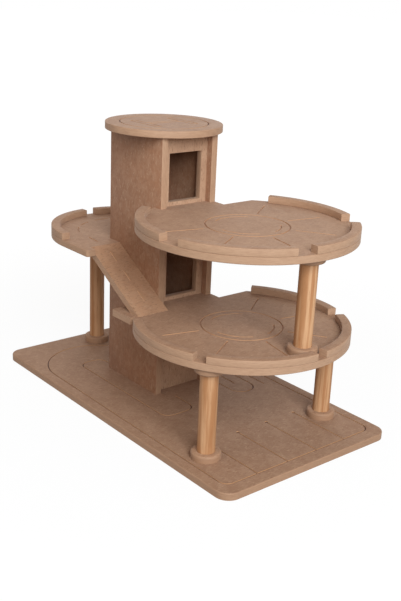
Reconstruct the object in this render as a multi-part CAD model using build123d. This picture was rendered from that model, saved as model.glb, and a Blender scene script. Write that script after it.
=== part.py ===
from build123d import *

import os
from math import atan2, cos, degrees, radians, sin, tan

# Toy parking garage with a hand-cranked lift, cut from 10 mm fibre board and turned dowels.
# Millimetres, +Z up. The origin is the centre of the base board's underside. +X is the front
# of the lift tower, where the two round decks are, and -X is the half deck behind it.

# Base board
base_length = 550.0
base_width = 302.0
base_thickness = 10.0
base_corner_radius = 20.0
base_edge_round = 1.5

# Lift tower
tower_back_inset = 145.0
tower_depth = 125.0
tower_width = 99.0
tower_height = 385.0
wall_thickness = 10.0
panel_thickness = 10.0
panel_recess = 10.0
window_width = 57.0
window_height = 69.5
window_sill = 5.5
doorway_height = 76.0

# Roof disc with its landing marks
roof_radius = 85.0
roof_thickness = 10.0
roof_ring_radius = 64.0
letter_leg = 62.0
letter_gap = 56.0
letter_stroke = 9.0

# Storeys and decks
storey_rise = 142.5
half_storeys = 1.5
deck_radius = 150.0
deck_thickness = 10.0
deck_center_reach = 126.3
deck_chord_reach = 20.0
ledge_back_reach = 23.0
ledge_width = 63.5
deck_edge_break = 0.8
board_slip = 0.1
half_deck_radius = 116.5
half_strip_reach = 40.0
half_strip_corner_share = 0.275

# Kerb rails on the decks, each given by the angles of its two ends
curb_width = 13.0
curb_height = 10.0
curb_corner_round = 2.0
upper_curbs = {
    "upper_curb_near": (214.0, 271.5),
    "upper_curb_front": (283.6, 341.7),
    "upper_curb_side": (352.0, 411.0),
    "upper_curb_far": (428.1, 485.3),
}
lower_curbs = {
    "lower_curb_near": (237.0, 294.3),
    "lower_curb_front": (301.2, 358.5),
    "lower_curb_side": (364.5, 423.6),
    "lower_curb_far": (433.5, 492.4),
}
half_curbs = {
    "half_deck_curb_near": (183.8, 270.0),
    "half_deck_curb_far": (90.5, 173.8),
}

# Ramp from the half deck down to the ledge
ramp_angle = 30.0
ramp_width = 52.0
ramp_thickness = 10.0
ramp_side_gap = 0.25
ramp_top_inset = 26.0
ramp_dash_length = 19.5
ramp_dash_starts = (15.0, 55.5, 97.0)

# Columns with a turned ring at each end
column_radius = 12.1
column_ring_radius = 20.4
column_ring_height = 10.0
column_ring_round = 3.0
glue_gap = 0.05
column_rim_inset = 25.0
column_angle = 60.0
upper_column_rim_inset = 33.0
half_column_rim_inset = 34.0

# Pins in the column ends, glued into blind holes
pin_radius = 4.0
pin_length = 16.0
pin_in_board = 6.0
pin_end_gap = 0.3

# Wood screws up through the base
screw_radius = 1.9
screw_length = 32.0
screw_head_radius = 3.9
screw_head_height = 2.4
screw_head_sink = 0.4
screw_tip_length = 4.0
screw_socket_radius = 1.2
screw_socket_depth = 1.2
wall_screw_inset = 24.0

# Marks engraved in the boards
groove_width = 2.0
groove_depth = 1.2
border_inset = 16.0
border_front_inset = 20.0
border_corner = 14.0
road_end_reach = 23.0
road_end_radius = 78.0
island_back_reach = 37.0
island_near_y = -82.0
island_back_y = -40.0
island_far_y = -27.0
island_front_reach = 68.0
island_tip_reach = 20.0
island_corner = 16.0
loop_near_y = 57.0
loop_far_y = 98.0
loop_back_reach = 55.0
loop_mark_reach = 35.0
far_lane_y = 115.0
far_lane_reach = 61.0
far_border_reach = 90.0
far_border_corner = 40.0
bay_count = 4
bay_pitch = 54.0
bay_length = 99.0
bay_dot_radius = 2.6
turning_circle_radius = 57.0
lane_arc_inset = 12.0
lane_arcs = ((137.0, 210.0), (272.0, 339.0), (371.0, 418.0))
stall_inner_gap = 9.0
stall_rim_inset = 32.0
stall_mark_count = 6
stall_pitch = 46.0
stall_first_angle = -104.0
half_lane_rim_inset = 41.5
half_lane_arcs = ((136.0, 156.0), (168.0, 188.0), (200.0, 219.0), (229.0, 250.0))
half_lane_tail = 25.0
half_lane_tail_angle = 277.0

# Lift car
car_side_gap = 1.0
car_rest_gap = 0.3
car_floor_thickness = 6.0
car_wall_thickness = 6.0
car_wall_height = 50.0
car_roof_thickness = 6.0
eye_wire_radius = 0.9
eye_loop_radius = 3.2
eye_shank_depth = 5.0
eye_shank_gap = 0.05

# Crank, its axle and the cord drum
axle_radius = 4.0
axle_running_gap = 0.05
axle_from_roof = 11.5
axle_blind_depth = 6.0
axle_end_gap = 0.3
axle_tail = 40.0
drum_radius = 8.0
drum_flange_radius = 10.0
drum_flange_thickness = 3.0
drum_length = 34.0
drum_cord_hole_radius = 0.9
crank_arm_thickness = 8.0
crank_arm_width = 16.0
crank_arm_reach = 32.0
knob_pin_radius = 3.0
knob_radius = 7.0
knob_length = 20.0
knob_round = 2.0
knob_gap = 0.3

# Heights and faces that follow from the sizes above
base_top = base_thickness
tower_back_x = tower_back_inset - base_length / 2
tower_front_x = tower_back_x + tower_depth
tower_mid_x = tower_back_x + tower_depth / 2
tower_top = base_top + tower_height
tower_side_y = tower_width / 2
inner_side_y = tower_side_y - wall_thickness
front_panel_face = tower_front_x - panel_recess
back_panel_face = tower_back_x + panel_recess
shaft_front_x = front_panel_face - panel_thickness
shaft_back_x = back_panel_face + panel_thickness
shaft_depth = shaft_front_x - shaft_back_x
shaft_mid_x = (shaft_front_x + shaft_back_x) / 2
lower_top = base_top + storey_rise
upper_top = lower_top + storey_rise
half_top = base_top + half_storeys * storey_rise
roof_top = tower_top + roof_thickness
deck_center_x = tower_front_x + deck_center_reach
deck_chord_x = tower_front_x + deck_chord_reach
ledge_back_x = tower_front_x - ledge_back_reach
half_center_x = half_deck_radius - base_length / 2
column_circle = deck_radius - column_rim_inset
deck_clear_height = storey_rise - deck_thickness
ramp_top_x = tower_back_x + ramp_top_inset
ramp_near_y = -tower_side_y - ramp_side_gap - ramp_width
ramp_mid_y = ramp_near_y + ramp_width / 2
ramp_run = (half_top - lower_top) / tan(radians(ramp_angle))
ledge_near_y = -tower_side_y - ledge_width
ramp_outer_gap_y = ramp_near_y - ramp_side_gap
half_strip_corner = half_strip_corner_share * (half_deck_radius + ramp_outer_gap_y)
road_end_x = tower_back_x - road_end_reach
island_back_x = tower_back_x - island_back_reach
island_front_x = tower_front_x + island_front_reach
island_tip_x = tower_front_x + island_tip_reach
loop_back_x = tower_front_x - loop_back_reach
loop_mark_end_x = tower_front_x + loop_mark_reach
far_lane_end_x = tower_front_x + far_lane_reach
far_border_back_x = tower_back_x - far_border_reach
border_front_x = base_length / 2 - border_front_inset
bay_start_x = border_front_x - bay_length
axle_z = tower_top - axle_from_roof
axle_start_x = shaft_front_x + axle_blind_depth - axle_end_gap
arm_front_x = tower_back_x - axle_tail + crank_arm_thickness + axle_end_gap
arm_back_x = arm_front_x - crank_arm_thickness
knob_z = axle_z - crank_arm_reach
car_floor_bottom = base_top + car_rest_gap
car_roof_bottom = car_floor_bottom + car_floor_thickness + car_wall_height
car_roof_top = car_roof_bottom + car_roof_thickness
car_depth = shaft_depth - 2 * car_side_gap
car_width = 2 * (inner_side_y - car_side_gap)

front_column = Vector(
    deck_center_x + column_circle * cos(radians(column_angle)),
    -column_circle * sin(radians(column_angle)),
)
side_column = Vector(front_column.X, -front_column.Y)
upper_column = Vector(deck_center_x + deck_radius - upper_column_rim_inset, 0)
half_column = Vector(half_center_x - half_deck_radius + half_column_rim_inset, 0)

# Each column's foot, and the height from its foot to the underside of the board it carries
columns = {
    "front_column": (Vector(front_column.X, front_column.Y, base_top), deck_clear_height),
    "side_column": (Vector(side_column.X, side_column.Y, base_top), deck_clear_height),
    "upper_column": (Vector(upper_column.X, 0, lower_top), deck_clear_height),
    "half_deck_column": (
        Vector(half_column.X, 0, base_top),
        half_top - deck_thickness - base_top,
    ),
}


def block(low, high):
    """A box between two opposite corners."""
    size = Vector(*high) - Vector(*low)
    mid = (Vector(*high) + Vector(*low)) * 0.5
    return Pos(mid.X, mid.Y, mid.Z) * Box(size.X, size.Y, size.Z)


def rod(radius, start, end):
    """A round rod from one point to another."""
    axis = Vector(*end) - Vector(*start)
    plane = Plane(origin=start, z_dir=axis)
    return extrude(plane * Circle(radius), axis.length)


def polar(center_x, radius, angle):
    """A point on a circle about a deck's centre, in plan."""
    return (
        center_x + radius * cos(radians(angle)),
        radius * sin(radians(angle)),
    )


def sector(center_x, inner_radius, outer_radius, start_angle, end_angle):
    """A flat piece of a ring about a point of the X axis."""
    mid_angle = (start_angle + end_angle) / 2
    outer = ThreePointArc(
        polar(center_x, outer_radius, start_angle),
        polar(center_x, outer_radius, mid_angle),
        polar(center_x, outer_radius, end_angle),
    )
    inner = ThreePointArc(
        polar(center_x, inner_radius, start_angle),
        polar(center_x, inner_radius, mid_angle),
        polar(center_x, inner_radius, end_angle),
    )
    ends = [Line(outer @ 0, inner @ 0), Line(outer @ 1, inner @ 1)]
    return make_face([outer, inner, *ends])


# ---- engraved marks, each a flat outline that is cut straight down into its board ----


def line_mark(start, end):
    """A straight engraved line with round ends."""
    run = Line(start, end)
    angle = degrees(atan2(end[1] - start[1], end[0] - start[0]))
    mid = run @ 0.5
    return Pos(mid.X, mid.Y) * Rot(Z=angle) * SlotCenterToCenter(run.length, groove_width)


def arc_mark(center_x, radius, start_angle, end_angle):
    """An engraved arc about a point of the X axis."""
    inner_radius = radius - groove_width / 2
    return sector(center_x, inner_radius, inner_radius + groove_width, start_angle, end_angle)


def ring_mark(center_x, radius):
    """A full engraved circle about a point of the X axis."""
    ring = Circle(radius + groove_width / 2) - Circle(radius - groove_width / 2)
    return Pos(center_x, 0) * ring


def path_mark(path):
    """An engraved line along a path of runs and arcs."""
    return trace(path, groove_width)


def engrave(board, marks, top):
    """The board with every mark cut into its top face."""
    for mark in marks:
        cut = extrude(Pos(0, 0, top - groove_depth) * mark, 2 * groove_depth)
        board -= cut
    return board


# ---- base board ----


def road_marks():
    """Kerb lines of the road that comes round the base to the lift's doorway."""
    near_y = -base_width / 2 + border_inset
    far_y = -near_y
    road_end_y = near_y + road_end_radius
    road_top_y = road_end_y + road_end_radius
    outer = (
        Line((tower_back_x, road_top_y), (road_end_x, road_top_y))
        + ThreePointArc(
            (road_end_x, road_top_y),
            (road_end_x - road_end_radius, road_end_y),
            (road_end_x, near_y),
        )
        + FilletPolyline(
            (road_end_x, near_y),
            (border_front_x, near_y),
            (border_front_x, far_y),
            (far_border_back_x, far_y),
            (far_border_back_x, road_top_y),
            radius=(border_corner, border_corner, far_border_corner),
        )
    )
    island = FilletPolyline(
        (tower_back_x, island_back_y),
        (island_back_x, island_back_y),
        (island_back_x, island_near_y),
        (island_front_x, island_near_y),
        (island_front_x, island_far_y),
        (island_tip_x, island_far_y),
        radius=island_corner,
    )
    return [path_mark(outer), path_mark(island)]


def loop_marks():
    """Lines of the loop beside the tower and of the lane beyond it."""
    loop_mid_y = (loop_near_y + loop_far_y) / 2
    loop_end_radius = (loop_far_y - loop_near_y) / 2
    loop_turn_x = island_front_x - loop_end_radius
    loop = (
        Line((loop_back_x, loop_near_y), (loop_turn_x, loop_near_y))
        + ThreePointArc(
            (loop_turn_x, loop_near_y),
            (island_front_x, loop_mid_y),
            (loop_turn_x, loop_far_y),
        )
        + Line((loop_turn_x, loop_far_y), (loop_back_x, loop_far_y))
    )
    middle = line_mark((loop_back_x, loop_mid_y), (loop_mark_end_x, loop_mid_y))
    far_lane = line_mark((loop_back_x, far_lane_y), (far_lane_end_x, far_lane_y))
    return [path_mark(loop), middle, far_lane]


def bay_marks():
    """Dividers of the parking bays along the front edge, each with a round dot."""
    marks = []
    for row in range(bay_count):
        y = (row - (bay_count - 1) / 2) * bay_pitch
        marks.append(line_mark((bay_start_x, y), (border_front_x, y)))
        marks.append(Pos(bay_start_x, y) * Circle(bay_dot_radius))
    return marks


def wall_screw_places():
    """Plan points of the four screws that hold the two tower walls."""
    wall_mid_y = tower_side_y - wall_thickness / 2
    places = []
    for x in (tower_back_x + wall_screw_inset, tower_front_x - wall_screw_inset):
        for y in (-wall_mid_y, wall_mid_y):
            places.append(Vector(x, y))
    return places


def column_screw_places():
    """Plan points of the screws that hold the columns standing on the base."""
    return [front_column, side_column, half_column]


def screw_solid(place, gap=0.0):
    """A countersunk wood screw pointing up, or with a gap the hole that takes it."""
    radius = screw_radius + gap
    head_radius = screw_head_radius + gap
    bottom = screw_head_sink
    neck = bottom + screw_head_height
    tip_start = neck + screw_length - screw_head_height - screw_tip_length
    profile = Polyline(
        (0, bottom),
        (head_radius, bottom),
        (radius, neck),
        (radius, tip_start),
        (0, tip_start + screw_tip_length + gap),
        close=True,
    )
    body = revolve(Plane.XZ * make_face(profile), Axis.Z)
    return Pos(place.X, place.Y) * body


def screw_hole(place):
    """The countersunk hole of one screw, open at the underside of the base."""
    mouth = rod(
        screw_head_radius + glue_gap,
        (place.X, place.Y, 0),
        (place.X, place.Y, screw_head_sink),
    )
    return screw_solid(place, glue_gap) + mouth


def base_screws():
    """All screws of the base, with a hexagon socket in each head."""
    screws = []
    for place in wall_screw_places() + column_screw_places():
        socket = extrude(RegularPolygon(screw_socket_radius, 6), screw_socket_depth)
        socket = Pos(place.X, place.Y, screw_head_sink) * socket
        screws.append(screw_solid(place) - socket)
    return Compound(children=screws)


def base_board():
    """The base with its road marks and the screw holes from below."""
    board = extrude(RectangleRounded(base_length, base_width, base_corner_radius), base_thickness)
    board = fillet(board.faces().sort_by(Axis.Z)[-1].edges(), base_edge_round)
    board = engrave(board, road_marks() + loop_marks() + bay_marks(), base_top)
    for place in wall_screw_places() + column_screw_places():
        board -= screw_hole(place)
    return board


# ---- lift tower ----


def tower_wall(side):
    """One side wall of the tower, with the pilot holes of its screws."""
    low_y = side * tower_side_y - (wall_thickness if side > 0 else 0)
    wall = block(
        (tower_back_x, low_y, base_top),
        (tower_front_x, low_y + wall_thickness, tower_top),
    )
    for place in wall_screw_places():
        if place.Y * side > 0:
            wall -= screw_solid(place, glue_gap)
    return wall


def opening_cut(front_x, sill_z, height):
    """The cut of one opening through a tower panel."""
    return block(
        (front_x - panel_thickness, -window_width / 2, sill_z),
        (front_x, window_width / 2, sill_z + height),
    )


def tower_front_panel():
    """The recessed front panel, open at both round decks."""
    panel = block(
        (shaft_front_x, -inner_side_y, base_top),
        (front_panel_face, inner_side_y, tower_top),
    )
    for deck_top in (lower_top, upper_top):
        panel -= opening_cut(front_panel_face, deck_top + window_sill, window_height)
    socket_start = (shaft_front_x, 0, axle_z)
    socket_end = (shaft_front_x + axle_blind_depth, 0, axle_z)
    return panel - rod(axle_radius + axle_running_gap, socket_start, socket_end)


def tower_back_panel():
    """The recessed back panel, open at the ground and at the half deck."""
    panel = block(
        (back_panel_face, -inner_side_y, base_top),
        (shaft_back_x, inner_side_y, tower_top),
    )
    panel -= opening_cut(shaft_back_x, base_top, doorway_height)
    panel -= opening_cut(shaft_back_x, half_top + window_sill, window_height)
    hole_start = (back_panel_face, 0, axle_z)
    hole_end = (shaft_back_x, 0, axle_z)
    return panel - rod(axle_radius + axle_running_gap, hole_start, hole_end)


def letter_marks():
    """Outline of a plain landing letter on the roof."""
    half_gap = letter_gap / 2
    half_leg = letter_leg / 2
    half_bar = letter_stroke / 2
    outer_y = half_gap + letter_stroke
    outline = Polyline(
        (-half_leg, -outer_y),
        (half_leg, -outer_y),
        (half_leg, -half_gap),
        (half_bar, -half_gap),
        (half_bar, half_gap),
        (half_leg, half_gap),
        (half_leg, outer_y),
        (-half_leg, outer_y),
        (-half_leg, half_gap),
        (-half_bar, half_gap),
        (-half_bar, -half_gap),
        (-half_leg, -half_gap),
        close=True,
    )
    face = make_face(outline)
    outline_cut = offset(face, groove_width / 2) - offset(face, -groove_width / 2)
    return Pos(tower_mid_x, 0) * outline_cut


def roof_disc():
    """The round roof with its landing ring."""
    disc = extrude(Pos(tower_mid_x, 0, tower_top) * Circle(roof_radius), roof_thickness)
    disc = fillet(disc.edges().filter_by(GeomType.CIRCLE), deck_edge_break)
    return engrave(disc, [ring_mark(tower_mid_x, roof_ring_radius), letter_marks()], roof_top)


# ---- decks ----


def plan_rectangle(low, high):
    """A flat rectangle between two corners in plan."""
    center_x = (low[0] + high[0]) / 2
    center_y = (low[1] + high[1]) / 2
    return Pos(center_x, center_y) * Rectangle(high[0] - low[0], high[1] - low[1])


def board_block(low, high, top):
    """A rectangle of deck board between two corners in plan."""
    return block((low[0], low[1], top - deck_thickness), (high[0], high[1], top))


def round_deck_plate(top, with_ledge):
    """A round deck, cut round the tower, with its tongue in the front recess."""
    far_y = deck_radius + ledge_width
    cut_y = tower_side_y + board_slip
    tongue_y = inner_side_y - board_slip
    low_z = top - deck_thickness
    plate = extrude(Pos(deck_center_x, 0, low_z) * Circle(deck_radius), deck_thickness)
    plate = chamfer(plate.edges().filter_by(GeomType.CIRCLE), deck_edge_break)
    if with_ledge:
        plate += board_block((ledge_back_x, ledge_near_y), (deck_chord_x, 0), top)
    plate -= board_block((-deck_radius, cut_y), (deck_chord_x, far_y), top)
    plate -= board_block((-deck_radius, -cut_y), (tower_front_x, cut_y), top)
    return plate + board_block((front_panel_face, -tongue_y), (deck_chord_x, tongue_y), top)


def half_deck_outline():
    """Plan of the half deck, with a strip beside the ramp and a tongue in the back recess."""
    strip_front_x = tower_back_x + half_strip_reach
    front_half = plan_rectangle(
        (half_center_x, -half_deck_radius),
        (half_center_x + half_deck_radius, half_deck_radius),
    )
    outline = Pos(half_center_x, 0) * Circle(half_deck_radius) - front_half
    outline += plan_rectangle((half_center_x, -half_deck_radius), (strip_front_x, 0))
    outline += plan_rectangle((half_center_x, 0), (tower_back_x, half_deck_radius))
    outline -= plan_rectangle((tower_back_x, -tower_side_y), (strip_front_x, 0))
    outline -= plan_rectangle((ramp_top_x, ramp_outer_gap_y), (strip_front_x, 0))
    strip_front = outline.vertices().group_by(Axis.X)[-1]
    outline = fillet(strip_front.sort_by(Axis.Y)[0], half_strip_corner)
    outline += plan_rectangle((half_center_x, -inner_side_y), (back_panel_face, inner_side_y))
    return outline


def round_deck_marks():
    """Turning circle, lane dashes and parking lines of a round deck."""
    marks = [ring_mark(deck_center_x, turning_circle_radius)]
    for start_angle, end_angle in lane_arcs:
        radius = turning_circle_radius - lane_arc_inset
        marks.append(arc_mark(deck_center_x, radius, start_angle, end_angle))
    for row in range(stall_mark_count):
        angle = stall_first_angle + row * stall_pitch
        start = polar(deck_center_x, turning_circle_radius + stall_inner_gap, angle)
        end = polar(deck_center_x, deck_radius - stall_rim_inset, angle)
        marks.append(line_mark(start, end))
    return marks


def half_deck_marks():
    """Dashed lane line that turns from the far side of the half deck to the ramp."""
    marks = []
    radius = half_deck_radius - half_lane_rim_inset
    for start_angle, end_angle in half_lane_arcs:
        marks.append(arc_mark(half_center_x, radius, start_angle, end_angle))
    tail_start = polar(half_center_x, radius, half_lane_tail_angle)
    marks.append(line_mark(tail_start, (tail_start[0] + half_lane_tail, ramp_mid_y)))
    return marks


def pin_hole(place, board_face_z, direction):
    """A blind hole for a column pin, from a board's face into the board."""
    end_z = board_face_z + direction * (pin_in_board + pin_end_gap)
    return rod(
        pin_radius + glue_gap,
        (place.X, place.Y, board_face_z),
        (place.X, place.Y, end_z),
    )


def lower_deck():
    """The lower round deck, with the ledge that the ramp lands on."""
    plate = round_deck_plate(lower_top, True)
    plate = engrave(plate, round_deck_marks(), lower_top)
    for place in (front_column, side_column):
        plate -= pin_hole(place, lower_top - deck_thickness, 1)
    return plate - pin_hole(upper_column, lower_top, -1)


def upper_deck():
    """The upper round deck."""
    plate = round_deck_plate(upper_top, False)
    plate = engrave(plate, round_deck_marks(), upper_top)
    return plate - pin_hole(upper_column, upper_top - deck_thickness, 1)


def half_deck():
    """The half deck behind the tower."""
    plate = extrude(Pos(0, 0, half_top - deck_thickness) * half_deck_outline(), deck_thickness)
    rims = plate.edges().filter_by(GeomType.CIRCLE)
    plate = fillet(rims, deck_edge_break)
    plate = engrave(plate, half_deck_marks(), half_top)
    return plate - pin_hole(half_column, half_top - deck_thickness, 1)


def curb(center_x, outer_radius, angles, deck_top):
    """One curved kerb rail with softened ends."""
    outline = sector(center_x, outer_radius - curb_width, outer_radius, *angles)
    rail = extrude(Pos(0, 0, deck_top) * outline, curb_height)
    rail = fillet(rail.edges().filter_by(Axis.Z), curb_corner_round)
    top_face = rail.faces().sort_by(Axis.Z)[-1]
    return fillet(top_face.edges(), deck_edge_break)


# ---- ramp ----


def ramp():
    """The ramp board: plumb at its top end and cut flat where it lies on the ledge."""
    upright = ramp_thickness / cos(radians(ramp_angle))
    foot_x = ramp_top_x + ramp_run
    profile = Polyline(
        (ramp_top_x, half_top),
        (foot_x, lower_top),
        (foot_x - upright / tan(radians(ramp_angle)), lower_top),
        (ramp_top_x, half_top - upright),
        close=True,
    )
    plane = Plane(origin=(0, ramp_near_y, 0), x_dir=(1, 0, 0), z_dir=(0, -1, 0))
    board = extrude(plane * make_face(profile), -ramp_width)
    slope = Plane(
        origin=(ramp_top_x, ramp_mid_y, half_top),
        x_dir=(cos(radians(ramp_angle)), 0, -sin(radians(ramp_angle))),
        z_dir=(sin(radians(ramp_angle)), 0, cos(radians(ramp_angle))),
    )
    for start in ramp_dash_starts:
        mid = start + ramp_dash_length / 2
        mark = Pos(mid, 0, -groove_depth) * SlotCenterToCenter(ramp_dash_length, groove_width)
        board -= extrude(slope * mark, 2 * groove_depth)
    return board


# ---- columns ----


def column_dowel(foot, height):
    """A column's dowel, bored for a pin or a screw at each end."""
    top = foot + Vector(0, 0, height)
    dowel = rod(column_radius, foot, top)
    depth = pin_length - pin_in_board + pin_end_gap
    dowel -= rod(pin_radius + glue_gap, top - Vector(0, 0, depth), top)
    if foot.Z > base_top:
        return dowel - rod(pin_radius + glue_gap, foot, foot + Vector(0, 0, depth))
    return dowel - screw_solid(foot, glue_gap)


def column_ring(seat_z, place, direction):
    """A ring round a column's end, rounded on the side away from its board."""
    low_z = seat_z if direction > 0 else seat_z - column_ring_height
    ring = extrude(Pos(place.X, place.Y, low_z) * Circle(column_ring_radius), column_ring_height)
    free_edge = ring.edges().filter_by(GeomType.CIRCLE).sort_by(Axis.Z)[-1 if direction > 0 else 0]
    ring = fillet(free_edge, column_ring_round)
    bore_start = (place.X, place.Y, low_z)
    bore_end = (place.X, place.Y, low_z + column_ring_height)
    return ring - rod(column_radius + glue_gap, bore_start, bore_end)


def column_pins():
    """The glued pins in the columns' ends."""
    pins = []
    for foot, height in columns.values():
        top = foot + Vector(0, 0, height)
        low = top - Vector(0, 0, pin_length - pin_in_board)
        pins.append(rod(pin_radius, low, low + Vector(0, 0, pin_length)))
        if foot.Z > base_top:
            low = foot - Vector(0, 0, pin_in_board)
            pins.append(rod(pin_radius, low, low + Vector(0, 0, pin_length)))
    return Compound(children=pins)


# ---- lift car ----


def car_plate(low_z, high_z):
    """A level board of the lift car."""
    half_depth = car_depth / 2
    half_width = car_width / 2
    return block(
        (shaft_mid_x - half_depth, -half_width, low_z),
        (shaft_mid_x + half_depth, half_width, high_z),
    )


def car_floor():
    """The lift car's floor."""
    return car_plate(car_floor_bottom, car_floor_bottom + car_floor_thickness)


def car_wall(side):
    """One side wall of the lift car."""
    half_depth = car_depth / 2
    low_y = side * car_width / 2 - (car_wall_thickness if side > 0 else 0)
    return block(
        (shaft_mid_x - half_depth, low_y, car_floor_bottom + car_floor_thickness),
        (shaft_mid_x + half_depth, low_y + car_wall_thickness, car_roof_bottom),
    )


def car_roof():
    """The lift car's roof, bored for the eye's shank."""
    hole_start = (shaft_mid_x, 0, car_roof_top - eye_shank_depth - eye_shank_gap)
    hole_end = (shaft_mid_x, 0, car_roof_top)
    hole = rod(eye_wire_radius + eye_shank_gap, hole_start, hole_end)
    return car_plate(car_roof_bottom, car_roof_top) - hole


def cord_eye():
    """The wire eye that the lift cord ties to, under the cord's run down from the drum."""
    center_z = car_roof_top + eye_loop_radius + eye_wire_radius
    loop = Torus(eye_loop_radius, eye_wire_radius, rotation=(0, 90, 0))
    shank_low = (shaft_mid_x, 0, car_roof_top - eye_shank_depth)
    shank_high = (shaft_mid_x, 0, center_z - eye_loop_radius)
    return Pos(shaft_mid_x, 0, center_z) * loop + rod(eye_wire_radius, shank_low, shank_high)


# ---- crank ----


def crank_axle():
    """The axle, from its blind socket in the front panel out through the back panel."""
    return rod(axle_radius, (tower_back_x - axle_tail, 0, axle_z), (axle_start_x, 0, axle_z))


def cord_drum():
    """The spool that winds the lift cord, with a flange at each end and a cord hole."""
    low_x = shaft_mid_x - drum_length / 2
    high_x = shaft_mid_x + drum_length / 2
    spool = rod(drum_radius, (low_x, 0, axle_z), (high_x, 0, axle_z))
    for start_x in (low_x, high_x - drum_flange_thickness):
        end_x = start_x + drum_flange_thickness
        spool += rod(drum_flange_radius, (start_x, 0, axle_z), (end_x, 0, axle_z))
    spool -= rod(axle_radius + glue_gap, (low_x, 0, axle_z), (high_x, 0, axle_z))
    hole_y = (drum_radius + axle_radius) / 2
    hole_x = high_x - drum_flange_thickness
    hole_start = (hole_x, hole_y, axle_z)
    hole_end = (high_x, hole_y, axle_z)
    return spool - rod(drum_cord_hole_radius, hole_start, hole_end)


def crank_arm():
    """The flat arm on the axle's tail, hanging down at rest."""
    length = crank_arm_reach + crank_arm_width
    outline = SlotOverall(length, crank_arm_width, rotation=90)
    plane = Plane(origin=(arm_front_x, 0, axle_z - crank_arm_reach / 2), z_dir=(-1, 0, 0))
    arm = extrude(plane * Rot(Z=90) * outline, crank_arm_thickness)
    axle_hole = rod(axle_radius + glue_gap, (arm_back_x, 0, axle_z), (arm_front_x, 0, axle_z))
    knob_hole = rod(knob_pin_radius + glue_gap, (arm_back_x, 0, knob_z), (arm_front_x, 0, knob_z))
    return arm - axle_hole - knob_hole


def knob_pin():
    """The pin that the knob is glued on, through the arm's lower end."""
    pin_end_x = arm_back_x - knob_gap - knob_length / 2
    return rod(knob_pin_radius, (arm_front_x, 0, knob_z), (pin_end_x, 0, knob_z))


def crank_knob():
    """The turned knob at the end of the arm."""
    front_x = arm_back_x - knob_gap
    knob = rod(knob_radius, (front_x, 0, knob_z), (front_x - knob_length, 0, knob_z))
    knob = fillet(knob.edges().filter_by(GeomType.CIRCLE), knob_round)
    bore_end = (front_x - knob_length / 2 - knob_gap, 0, knob_z)
    return knob - rod(knob_pin_radius + glue_gap, (front_x, 0, knob_z), bore_end)


def build_nodes():
    """Every piece of the garage under its node's name."""
    nodes = {
        "base_board": base_board(),
        "base_screws": base_screws(),
        "tower_wall_near": tower_wall(-1),
        "tower_wall_far": tower_wall(1),
        "tower_front_panel": tower_front_panel(),
        "tower_back_panel": tower_back_panel(),
        "roof_disc": roof_disc(),
        "lower_deck": lower_deck(),
        "upper_deck": upper_deck(),
        "half_deck": half_deck(),
        "ramp": ramp(),
        "column_pins": column_pins(),
        "lift_car_floor": car_floor(),
        "lift_car_wall_near": car_wall(-1),
        "lift_car_wall_far": car_wall(1),
        "lift_car_roof": car_roof(),
        "lift_cord_eye": cord_eye(),
        "crank_axle": crank_axle(),
        "cord_drum": cord_drum(),
        "crank_arm": crank_arm(),
        "crank_knob_pin": knob_pin(),
        "crank_knob": crank_knob(),
    }
    for name, angles in lower_curbs.items():
        nodes[name] = curb(deck_center_x, deck_radius, angles, lower_top)
    for name, angles in upper_curbs.items():
        nodes[name] = curb(deck_center_x, deck_radius, angles, upper_top)
    for name, angles in half_curbs.items():
        nodes[name] = curb(half_center_x, half_deck_radius, angles, half_top)
    for name, (foot, height) in columns.items():
        nodes[name] = column_dowel(foot, height)
        nodes[name + "_foot_ring"] = column_ring(foot.Z, foot, 1)
        nodes[name + "_top_ring"] = column_ring(foot.Z + height, foot, -1)
    return nodes


os.makedirs("parts", exist_ok=True)
for node_name, shape in build_nodes().items():
    export_step(shape, "parts/" + node_name + ".step")
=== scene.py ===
"""Looks of a wooden toy parking garage: bare fibre board, turned dowels, screws and a soft studio."""

import logging
import math
from collections.abc import Iterable, Sequence
from dataclasses import dataclass, field
from enum import Enum

import bmesh
import bpy
from mathutils import Matrix, Vector


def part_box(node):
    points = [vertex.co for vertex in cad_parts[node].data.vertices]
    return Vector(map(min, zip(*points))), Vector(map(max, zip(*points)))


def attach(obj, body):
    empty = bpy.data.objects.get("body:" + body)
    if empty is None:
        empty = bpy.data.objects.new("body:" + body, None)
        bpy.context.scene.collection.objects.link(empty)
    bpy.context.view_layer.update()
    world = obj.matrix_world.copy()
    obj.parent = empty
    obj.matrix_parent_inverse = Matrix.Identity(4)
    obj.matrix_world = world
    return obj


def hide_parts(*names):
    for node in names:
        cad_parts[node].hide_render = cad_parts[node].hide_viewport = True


logging.basicConfig(level=logging.INFO, format="%(message)s")
LOG = logging.getLogger("garage")

Rgb = tuple[float, float, float]
Point = tuple[float, float, float]
Arcs = dict[str, tuple[float, float]]


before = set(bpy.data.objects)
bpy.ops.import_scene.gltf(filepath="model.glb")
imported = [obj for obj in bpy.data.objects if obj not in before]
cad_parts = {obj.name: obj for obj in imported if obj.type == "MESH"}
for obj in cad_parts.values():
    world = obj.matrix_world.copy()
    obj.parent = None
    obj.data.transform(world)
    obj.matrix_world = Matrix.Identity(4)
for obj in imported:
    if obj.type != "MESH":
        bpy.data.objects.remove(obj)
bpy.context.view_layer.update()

MM = 0.001
WHITE = (1.0, 1.0, 1.0, 1.0)
ROUND_DECK_RADIUS = 150 * MM
RAMP_SLOPE = math.radians(30)

# Every place in a finish's pattern is in metres. GROOVE is the face attribute of the engraved marks.
GROOVE = "groove"
GROOVE_DEPTH = 1.2 * MM
SAME_HEIGHT = 0.02 * MM

# Corners nearer than SAME_POINT are one corner, and faces that turn less than SAME_PLANE are one face.
SAME_POINT = 0.002 * MM
SLIVER = 0.001 * MM
SAME_PLANE = math.radians(0.3)

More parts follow.
